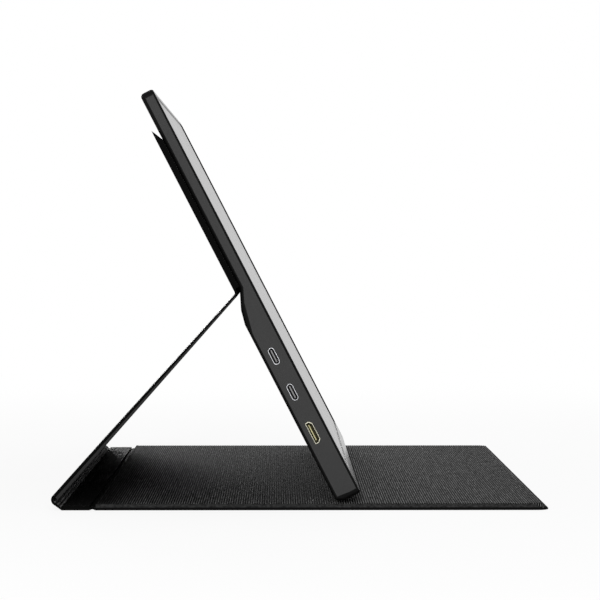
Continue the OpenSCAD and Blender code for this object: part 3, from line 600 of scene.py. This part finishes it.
def plate(name, low, high):
    """A cuboid between two corners, open in edit mode with nothing selected."""
    low, high = Vector(low), Vector(high)
    bpy.ops.object.select_all(action="DESELECT")
    bpy.ops.mesh.primitive_cube_add(size=1, location=(low + high) / 2)
    piece = bpy.context.object
    piece.name = name
    piece.scale = high - low
    bpy.ops.object.transform_apply()
    open_up(piece)
    return piece


def along(edge, axis):
    """Whether an edge runs along an axis."""
    run = edge.verts[1].co - edge.verts[0].co
    return abs(run[axis]) > 0.99 * run.length


base_skin = plate("base_outer_skin", (-cover_w / 2, base_front, 0), (cover_w / 2, base_rear, skin_t))
pick("edges", lambda edge: along(edge, 2) and middle(edge).y < 0)
round_off(panel_corner_r, 8)
pick("edges", lambda edge: borders(edge, Vector((0, 0, -1))) and middle(edge).z < hair)
round_off(0.2 * MM, 3)
coat(base_skin, skin)
paint_edges(base_skin, lambda face: abs(face.normal.z) < 0.8)
close_up(base_skin)
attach(base_skin, "cover_base")
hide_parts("base_skin")

greyboard = Finish("pressed_greyboard", specular=0.15)
fibres = greyboard.noise(greyboard.spot(scale=(1, 0.35, 1)), 0.5 * MM, 5, 0.7)
flecks = greyboard.cells(greyboard.spot(), 2.2 * MM).ramp(0.2, 0.12)
greyboard.set(base_color=greyboard.mix(flecks * 0.5 + fibres * 0.5, tint(146, 140, 130), tint(96, 91, 84)),
              roughness=0.85 + fibres * 0.1, normal=greyboard.bump(fibres, 0.05 * MM))
greyboard.onto("base_board")

magnet_nickel = Finish("nickel_plated_magnet", metallic=1.0)
haze = magnet_nickel.noise(magnet_nickel.spot(), 1.2 * MM, 3)
magnet_nickel.set(base_color=magnet_nickel.mix(haze, tint(176), tint(206)), roughness=0.2 + haze * 0.2,
                  normal=magnet_nickel.bump(haze, 0.005 * MM))
magnet_nickel.onto("base_magnets", "flap_magnets")


# Woven lining: a ribbed dark grey cloth glued over the board and turned down its edges. The ribs run along
# the cover's width, 1.18 mm apart, and the dark gaps between them are partly painted shade. Where the cloth
# turns down it is pressed flat, with dark lines along it that are partly its pressed edge and partly painted
# shade.
rib_pitch, rib_relief = 1.178 * MM, 0.26 * MM
thread_pitch = 0.9 * MM
base_t = 3.4 * MM
side_run, front_run, rear_run = 1.2 * MM, 3 * MM, 0.2 * MM  # how far in the cloth turns down


def ribbed_cloth(name, place=None, first_rib=0.0, turned=False):
    """Ribbed weave: pale ribs of uneven yarn, dark gaps that are partly painted shade, and weft threads that
    cross them in turn. The one turned down round the base panel is pressed flat there, with dark lines along
    that edge that are partly painted shade, and its yarn is painted darker towards the panel's rear as shade
    under the strut."""
    finish = Finish(name, specular=0.03)
    spot = finish.spot(place)
    x, y, z = finish.xyz(spot)
    # Painted shade: the gaps between the ribs get a near-black tone, partly the weave's own and partly shade.
    crest = (y - first_rib).zigzag(rib_pitch).ramp(0.55, 0.95)
    row = ((y - first_rib) / rib_pitch).maths("FLOOR")
    weft = (x + row * (thread_pitch / 2)).zigzag(thread_pitch)
    slubs = finish.noise(finish.spot(place, (0.08, 1, 1)), 1.05 * MM, 2, 0.6).ramp(0.3, 0.7)
    fuzz = finish.noise(spot, 0.25 * MM, 2)
    clouds = finish.noise(spot, 40 * MM, 2)
    yarn = crest * (0.35 + slubs * 0.65) * (0.8 + weft * 0.2) * (0.9 + clouds * 0.2)
    # Painted shade under the strut: the yarn is made darker towards the base panel's rear.
    if turned:
        yarn = yarn * (0.1 + y.ramp(base_rear - MM, base_rear - 26 * MM) * 0.9)
    colour = finish.mix(yarn, tint(4), tint(138))
    relief = weft * 0.5 + fuzz * 0.5
    if turned:
        side_line, front_line = cover_w / 2 - side_run, base_front + front_run
        side = abs(x).ramp(side_line - 0.02 * MM, side_line + 0.04 * MM)
        front = y.ramp(front_line - 0.05 * MM, front_line - 0.15 * MM)
        flat = 1 - (1 - side) * (1 - front)
        mottle = finish.noise(finish.spot(place, (1, 0.5, 1)), 0.7 * MM, 3, 0.6).ramp(0.3, 0.7)
        # Dark lines, partly the pressed edge and partly painted shade, run along the foot and the top of the
        #         turned-down edge, with paler cloth between them.
        between_shade_lines = z.ramp(1.15 * MM, 1.6 * MM) * z.ramp(3.05 * MM, 2.8 * MM)
        pressed_rim_and_painted_shade = finish.mix(between_shade_lines, tint(10), finish.mix(mottle, tint(26), tint(52)))
        colour = finish.mix(flat, colour, pressed_rim_and_painted_shade)
        relief = relief * (1 - flat) + fuzz * flat * 0.3
    finish.set(base_color=colour, roughness=0.9 - slubs * 0.1, normal=finish.bump(relief, 0.1 * MM))
    return finish


def press_ribs(front, rear):
    """Cuts the open piece's top into rows across, and presses every second line down between the ribs."""
    row = rib_pitch / 2
    for line in range(1, int((rear - front) / row)):
        pick("faces", lambda face: face.normal.z > 0.9)
        bpy.ops.mesh.bisect(plane_co=(0, front + line * row, 0), plane_no=(0, 1, 0))
    pick("edges", lambda edge: along(edge, 0) and all(face.normal.z > 0.9 for face in edge.link_faces)
         and front + 0.1 * MM < middle(edge).y < rear - 0.1 * MM
         and round((middle(edge).y - front) / row) % 2 == 1)
    bpy.ops.transform.translate(value=(0, 0, -rib_relief))


foot_t = 0.1 * MM
base_lining = plate("base_ribbed_lining", (-cover_w / 2, base_front, skin_t),
                    (cover_w / 2, base_rear, skin_t + foot_t))
pick("edges", lambda edge: along(edge, 2) and middle(edge).y < 0)
round_off(panel_corner_r, 8)
pick("faces", lambda face: face.normal.z > 0.99)
bpy.ops.mesh.extrude_region_move(TRANSFORM_OT_translate={"value": (0, 0, base_t - skin_t - foot_t)})
bpy.ops.transform.resize(value=(1 - 2 * side_run / cover_w, 1 - (front_run + rear_run) / base_l, 1),
                         center_override=(0, base_front + base_l * front_run / (front_run + rear_run), 0))
press_ribs(base_front + front_run, base_rear - rear_run)
pick("faces", lambda face: face.normal.z < -0.99)
bpy.ops.mesh.inset(thickness=3.8 * MM)
bpy.ops.transform.translate(value=(0, 0, 2.4 * MM))
coat(base_lining, ribbed_cloth("ribbed_base_lining", first_rib=base_front, turned=True))
close_up(base_lining, smooth=50)
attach(base_lining, "cover_base")
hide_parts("base_lining")


# Fold between base panel and spine: skin and lining alone, glued face to face with no board between them,
# and pressed to a soft crease. The lining here is smooth black cloth without sheen, as painted shade under
# the strut.
fold_t = 1.0 * MM


def folded_strip(name, corners, radii, lining_side, lining):
    """A strip of skin and lining, run across the cover's width from its end profile: straight between
    corners in the side view, and bent round at each of them. lining_side is a point on the lining's side."""
    ends = [Vector((0, *corner)) for corner in corners]
    heading = math.atan2(ends[1].z - ends[0].z, ends[1].y - ends[0].y)
    bpy.ops.object.select_all(action="DESELECT")
    bpy.ops.mesh.primitive_plane_add(size=1, location=ends[0], rotation=(math.pi / 2 + heading, 0, 0))
    piece = bpy.context.object
    piece.name = name
    piece.scale = (cover_w, fold_t, 1)
    bpy.ops.object.transform_apply()
    open_up(piece)
    bpy.ops.mesh.select_all(action="SELECT")
    bpy.ops.mesh.delete(type="ONLY_FACE")
    bpy.ops.mesh.select_mode(type="EDGE")
    bpy.ops.mesh.select_all(action="SELECT")
    here = ends[0]
    for corner, after, radius in zip(ends[1:], [*ends[2:], None], [*radii, 0]):
        way = (corner - here).normalized()
        turn = 0
        if after is not None:
            onward = (after - corner).normalized()
            turn = math.atan2(way.cross(onward).x, way.dot(onward))
        stop = corner - way * radius * math.tan(abs(turn) / 2)
        for _ in range(3):
            bpy.ops.mesh.extrude_edges_move(TRANSFORM_OT_translate={"value": (stop - here) / 3})
        here = stop
        if after is not None:
            side = Vector((0, -way.z, way.y)) * math.copysign(radius, turn)
            bpy.ops.mesh.spin(steps=8, angle=-turn, center=here + side, axis=(1, 0, 0))
            here = corner + onward * radius * math.tan(abs(turn) / 2)
    bpy.ops.mesh.select_all(action="SELECT")
    bpy.ops.mesh.fill_holes(sides=4)
    bpy.ops.mesh.normals_make_consistent(inside=False)
    coat(piece, skin)
    inside = Vector((0, *lining_side))
    coat(piece, lining, lambda face: abs(face.normal.x) < 0.1
         and face.normal.dot(inside - Vector((0, *middle(face).yz))) > 0)
    return piece


# Painted shade: smooth black cloth with almost no sheen, on the spine and its crease for the shade under the
# strut; the upper fold uses the same cloth.
hinge_cloth = leathercloth("smooth_hinge_lining", tone=24, specular=0.002)
spine_front, spine_rear = base_rear + 2.9 * MM, base_rear + 16.1 * MM
crease_ends, crease_top, crease_slope = 0.55 * MM, 1.0 * MM, 0.9 * MM
base_crease = folded_strip("base_crease",
                           [(base_rear, crease_ends), (base_rear + crease_slope, crease_top),
                            (spine_front - crease_slope, crease_top), (spine_front, crease_ends)],
                           [1 * MM, 1 * MM], (base_rear, 100 * MM), hinge_cloth)
paint_edges(base_crease)
close_up(base_crease, smooth=40)
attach(base_crease, "cover_base")
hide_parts("base_fold")


# Spine: a narrow panel behind the base, as long as the monitor is deep. The skin is turned up round its
# board at both ends of its length, and a smooth black lining with two soft creases lies inside, black and
# without sheen as painted shade under the strut.
spine_t = 2.2 * MM


def skin_tray(name, low, high, finish=skin, closed_end=False, flare=0.0):
    """The skin of a panel, turned up at both sides, and at the far end too where no fold runs on. A flare
    lets its outer face stand away at the near end."""
    (x0, y0, z0), (x1, y1, z1) = low, high
    piece = plate(name, low, (x1, y1, skin_t))
    pick("verts", lambda vert: vert.co.y < y0 + hair and vert.co.z < z0 + hair)
    bpy.ops.transform.translate(value=(0, 0, -flare))
    if closed_end:
        pick("edges", lambda edge: along(edge, 2) and middle(edge).y > y1 - MM)
        round_off(panel_corner_r, 8)
    pick("faces", lambda face: face.normal.z > 0.99)
    bpy.ops.mesh.inset(thickness=skin_t)
    pick("faces", lambda face: face.normal.z > 0.99 and face.calc_area() < 0.3 * (x1 - x0) * (y1 - y0)
         and (abs(middle(face).x) > x1 - skin_t or (closed_end and middle(face).y > y0 + 2 * skin_t)))
    bpy.ops.mesh.extrude_region_move(TRANSFORM_OT_translate={"value": (0, 0, z1 - skin_t)})
    pick("edges", lambda edge: borders(edge, Vector((0, 0, -1)))
         and not (along(edge, 0) and (middle(edge).y < y0 + hair or not closed_end)))
    round_off(0.3 * MM, 3)
    coat(piece, finish)
    return piece


spine_skin = skin_tray("spine_outer_skin", (-cover_w / 2, spine_front, 0), (cover_w / 2, spine_rear, spine_t))
paint_edges(spine_skin)
close_up(spine_skin)
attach(spine_skin, "cover_base")
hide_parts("spine_skin")


def trimmed_board(board, body, place=None, cut=lambda piece: None, thinner=0.0):
    """A panel's greyboard, trimmed short all round, where the lining is turned down over its edge."""
    sheet = moulding(board + "_trimmed", board, place)
    verts = bmesh.from_edit_mesh(sheet.data).verts
    low, high = (Vector([end(vert.co[axis] for vert in verts) for axis in range(3)]) for end in (min, max))
    run, centre = high - low, (low + high) / 2
    trim = 2 * 0.8 * MM
    bpy.ops.mesh.select_all(action="SELECT")
    bpy.ops.transform.resize(value=(1 - trim / run.x, 1 - trim / run.y, 1 - thinner / run.z),
                             center_override=(centre.x, centre.y, low.z))
    coat(sheet, greyboard)
    cut(sheet)
    close_up(sheet, place)
    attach(sheet, body)
    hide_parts(board)


def turned_down(name, low, high, depth):
    """A lining, open in edit mode: a sheet with its four edges turned down round the board below it."""
    piece = plate(name, low, high)
    pick("faces", lambda face: face.normal.z < -0.99)
    bpy.ops.mesh.inset(thickness=0.7 * MM)
    bpy.ops.transform.translate(value=(0, 0, depth))
    bpy.ops.mesh.select_all(action="DESELECT")
    return piece


trimmed_board("spine_board", "cover_base")
creases, crease_half = (spine_front + 4 * MM, spine_front + 9.4 * MM), 0.8 * MM
spine_lining = turned_down("spine_smooth_lining", (-cover_w / 2 + skin_t, spine_front, 0.9 * MM),
                           (cover_w / 2 - skin_t, spine_rear, spine_t), 0.8 * MM)
for line in (crease + side for crease in creases for side in (-crease_half, 0, crease_half)):
    pick("faces", lambda face: face.normal.z > 0.9)
    bpy.ops.mesh.bisect(plane_co=(0, line, 0), plane_no=(0, 1, 0))
for crease in creases:
    pick("edges", lambda edge: along(edge, 0) and edge.verts[0].co.z > spine_t - 0.1 * MM
         and abs(middle(edge).y - crease) < hair)
    bpy.ops.transform.translate(value=(0, 0, -0.25 * MM))
# The spine's lining gets the black cloth that stands in for the shade under the strut.
coat(spine_lining, hinge_cloth)
close_up(spine_lining, smooth=50)
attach(spine_lining, "cover_base")
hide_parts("spine_lining")


# Strut: the panel that rises from the rear fold to the monitor's back, a board in a leathercloth skin with
# ribbed lining on its front. It is thicker at its foot, where the cloths of the fold are glued on.
lower_pivot, upper_pivot = Vector((0, 121.85, 4.2)) * MM, Vector((0, 30.4258, 106.9478)) * MM
strut_rise = (upper_pivot - lower_pivot).normalized()
fold_half, strut_t = 2.5 * MM, 1.8 * MM
strut_l = (upper_pivot - lower_pivot).length - 2 * fold_half
strut_slope = math.atan2(strut_rise.z, strut_rise.y)
strut_place = (Matrix.Translation(lower_pivot) @ Matrix.Rotation(strut_slope, 4, "X")
               @ Matrix.Translation((0, fold_half, -strut_t / 2)))
# Heights over the strut's outer plane: the skin's outer face, its turned-up walls, and the lining's front.
strut_outer, strut_wall, strut_inner = 0.05 * MM, 0.8 * MM, 1.5 * MM
strut_flare, strut_swell, wall_drop = 1.2 * MM, 0.7 * MM, 0.5 * MM


def at_foot(height, shift):
    """Moves the open piece's foot end at that height, where the panel grows thicker."""
    pick("verts", lambda vert: vert.co.y < hair and abs(vert.co.z - height) < hair)
    bpy.ops.transform.translate(value=(0, 0, shift))


strut_skin = skin_tray("strut_outer_skin", (-cover_w / 2, 0, strut_outer), (cover_w / 2, strut_l, strut_wall),
                       finish=leathercloth("strut_leathercloth", place=strut_place), flare=strut_flare)
at_foot(strut_wall, -wall_drop)
paint_edges(strut_skin)
close_up(strut_skin, strut_place)
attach(strut_skin, "strut")
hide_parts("strut_skin")

woven_edge = Finish("raw_woven_edge", specular=0.08)
threads = woven_edge.noise(woven_edge.spot(), 0.3 * MM, 3)
woven_edge.set(base_color=woven_edge.mix(threads, tint(26), tint(50)), roughness=0.85 + threads * 0.1,
               normal=woven_edge.bump(threads, 0.08 * MM))

trimmed_board("strut_board", "strut", strut_place, thinner=0.2 * MM)
strut_lining = turned_down("strut_ribbed_lining", (-cover_w / 2, 0, strut_wall),
                           (cover_w / 2, strut_l, strut_inner), strut_inner - strut_wall - 0.35 * MM)
at_foot(strut_wall, -wall_drop)
at_foot(strut_inner, strut_swell)
press_ribs(0, strut_l)
coat(strut_lining, ribbed_cloth("ribbed_strut_lining", strut_place))
coat(strut_lining, woven_edge, lambda face: abs(face.normal.x) > 0.9)
close_up(strut_lining, strut_place, smooth=50)
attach(strut_lining, "strut")
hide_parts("strut_lining")


# Rear fold: skin and lining run on from the spine, up round a soft heel, and on to the strut. The lining is
# rucked into small ridges on the inside of the bend, with pale lines painted along them as highlights.
outward = Vector((0, strut_rise.z, -strut_rise.y))
strut_start = (lower_pivot + strut_rise * fold_half
               + outward * (strut_t / 2 - strut_outer + strut_flare - fold_t / 2))
spine_end = Vector((0, spine_rear, fold_t / 2))
heel = Vector((0, spine_rear + 6.3 * MM, 4.85 * MM))
heel_cloth = Finish("rucked_heel_lining", roughness=0.8, specular=0.05)
height = heel_cloth.xyz(heel_cloth.spot())[2]
patchy_noise = heel_cloth.noise(heel_cloth.spot(scale=(0.06, 1, 1)), 1.4 * MM, 2)
rucks_and_painted_highlights = (height + (patchy_noise - 0.5) * (0.4 * MM)).zigzag(1.15 * MM).ramp(0.35, 0.95) * patchy_noise.ramp(0.25, 0.65)
# Painted highlights: pale lines along the rucks, for light catching them; the noise only wobbles and fades
# them.
heel_cloth.set(base_color=heel_cloth.mix(rucks_and_painted_highlights, tint(30), tint(150)),
               normal=heel_cloth.bump(rucks_and_painted_highlights, 0.15 * MM))
rear_fold = folded_strip("rear_fold",
                         [spine_end.yz, (spine_rear + 0.25 * MM, fold_t / 2), heel.yz, strut_start.yz],
                         [0.3 * MM, 2.4 * MM], (spine_rear - 10 * MM, 20 * MM), heel_cloth)
bend_centre = Vector((0, spine_rear + 3.3 * MM, 6.2 * MM))
line_angle = math.radians(12.2)


def on_ridge(edge):
    """Every second line across the inside of the heel."""
    if not along(edge, 0) or any(face.material_index != 1 for face in edge.link_faces):
        return False
    arm = middle(edge) - bend_centre
    return round(math.atan2(arm.z, arm.y) / line_angle) % 2 == 0


pick("edges", on_ridge)
bpy.ops.transform.translate(value=(0, -0.22 * MM, 0.12 * MM))
paint_edges(rear_fold)
close_up(rear_fold, smooth=40)
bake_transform(rear_fold)
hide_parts("lower_fold")


# Flap: the top panel, held flat on the monitor's slim back by its magnets, with two rounded corners. Its
# free end is skived to a thin tip, so that a finger gets behind it.
flap_low, flap_l, flap_t = 117.5 * MM, 88 * MM, 2.5 * MM
flap_outer = -0.45 * MM
flap_place = (monitor_lean @ Matrix.Translation((0, slim_depth + flap_t, flap_low))
              @ Matrix.Rotation(math.pi / 2, 4, "X"))
tip_cut, tip_slope = Vector((0, flap_l - 1.8 * MM, 0.3 * MM)), Vector((0, 2.2, 4.8)).normalized()


def skive(piece):
    """Cuts the open piece's free end on a slant, from the monitor's side out to a thin tip, and paints it."""
    bpy.ops.mesh.select_all(action="SELECT")
    bpy.ops.mesh.bisect(plane_co=tip_cut, plane_no=tip_slope, clear_outer=True, use_fill=True)
    pick("faces", lambda face: face.normal.dot(tip_slope) < -0.99)
    bpy.ops.mesh.flip_normals()
    paint_edges(piece, lambda face: face.normal.y > 0.3 and face.normal.z > 0.8)


flap_skin = skin_tray("flap_outer_skin", (-cover_w / 2, 0, flap_outer), (cover_w / 2, flap_l, flap_t),
                      finish=leathercloth("flap_leathercloth", place=flap_place), closed_end=True)
paint_edges(flap_skin)
skive(flap_skin)
close_up(flap_skin, flap_place)
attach(flap_skin, "monitor")
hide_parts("flap_skin")

trimmed_board("flap_board", "monitor", flap_place, cut=skive)
flap_lining = moulding("flap_skived_lining", "flap_lining", flap_place)
coat(flap_lining, ribbed_cloth("ribbed_flap_lining", flap_place))
skive(flap_lining)
close_up(flap_lining, flap_place)
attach(flap_lining, "monitor")
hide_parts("flap_lining")


# Upper fold: skin and smooth lining run on from the strut's top to the flap's lower edge with no board
# between them, in one soft bend. The bend's corner is where the lines of strut and flap meet.
strut_end = (lower_pivot + strut_rise * (fold_half + strut_l)
             + outward * (strut_t / 2 - strut_outer - fold_t / 2))
flap_start = flap_place @ Vector((0, 0, fold_t / 2 + flap_outer))
flap_rise = monitor_lean.to_3x3() @ Vector((0, 0, 1))
to_corner = (flap_start - strut_end).cross(flap_rise).x / strut_rise.cross(flap_rise).x
knuckle = strut_end + strut_rise * to_corner
upper_fold = folded_strip("upper_fold_strip", [strut_end.yz, knuckle.yz, flap_start.yz], [2.2 * MM],
                          (knuckle.y - 30 * MM, knuckle.z - 10 * MM), hinge_cloth)
paint_edges(upper_fold)
close_up(upper_fold, smooth=40)
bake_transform(upper_fold)
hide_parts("upper_fold")


# Stage: a pale floor that goes on to a white background, soft lamps on both sides and above, a low one
# that shines in under the monitor from the right, and the camera at its left, a little above its foot.
def white_rays(finish):
    """1 for rays that should find a white background: the camera's, and those off gloss or through glass."""
    straight, glossed, through = (finish.node("ShaderNodeLightPath", output=ray)
                                  for ray in ("Is Camera Ray", "Is Glossy Ray", "Is Transmission Ray"))
    return straight.maths("MAXIMUM", glossed).maths("MAXIMUM", through)


pale_floor = Finish("pale_floor", roughness=1.0, specular=0.0, emission_strength=1.0)
x, y, z = pale_floor.xyz(pale_floor.spot())
away = (x * x + y * y).maths("SQRT").ramp(0.35, 1.1)
seen = white_rays(pale_floor) * (0.86 + away * 0.14)
pale_floor.set(base_color=pale_floor.mix(seen, (0.9, 0.9, 0.9, 1), (0, 0, 0, 1)),
               emission_color=pale_floor.mix(seen, (0, 0, 0, 1), (1, 1, 1, 1)))
bpy.ops.object.select_all(action="DESELECT")
bpy.ops.mesh.primitive_plane_add(size=12, location=(0, 0, -0.05 * MM))
floor = bpy.context.object
floor.name = "floor"
floor.data.materials.append(pale_floor.material)


class Room(Finish):
    """The world round the object, with the same methods as a finish."""

    def __init__(self, name):
        world = bpy.data.worlds.new(name)
        world.use_nodes = True
        bpy.context.scene.world = world
        self.tree = world.node_tree
        self.shader = self.tree.nodes["Background"]


white_room = Room("soft_white_room")
white_room.set(color=(1, 1, 1, 1), strength=0.55 + white_rays(white_room) * 0.45)


def soft_lamp(name, place, aim, size, power):
    """A round lamp of that width in metres and power in watts, turned to a point."""
    lamp = bpy.data.lights.new(name, "AREA")
    lamp.shape, lamp.size, lamp.energy = "DISK", size, power
    holder = bpy.data.objects.new(name, lamp)
    holder.location = place
    holder.rotation_euler = (Vector(aim) - Vector(place)).to_track_quat("-Z", "Y").to_euler()
    bpy.context.scene.collection.objects.link(holder)


centre, underneath = (0, 0, 0.05), (0, 0.03, 0.02)
soft_lamp("left_lamp", (-1.55, 0, 0.52), centre, size=0.8, power=13)
soft_lamp("right_lamp", (1.5, 0.15, 0.74), centre, size=0.55, power=4.5)
soft_lamp("low_lamp", (2.8, 0.5, 0.56), underneath, size=0.7, power=20)
soft_lamp("top_lamp", (-0.2, -0.3, 1.5), centre, size=1.0, power=1.5)

lens = bpy.data.cameras.new("camera")
lens.lens, lens.sensor_width = 153.3, 36
camera = bpy.data.objects.new("camera", lens)
camera.location = (-1.433, 0.01033, 0.13196)
pitch, yaw = math.radians(-1.307), math.radians(-0.455)
gaze = Vector((math.cos(pitch) * math.cos(yaw), math.cos(pitch) * math.sin(yaw), math.sin(pitch)))
camera.rotation_euler = gaze.to_track_quat("-Z", "Y").to_euler()
bpy.context.scene.collection.objects.link(camera)
bpy.context.scene.camera = camera
bpy.context.scene.view_settings.view_transform = "Standard"
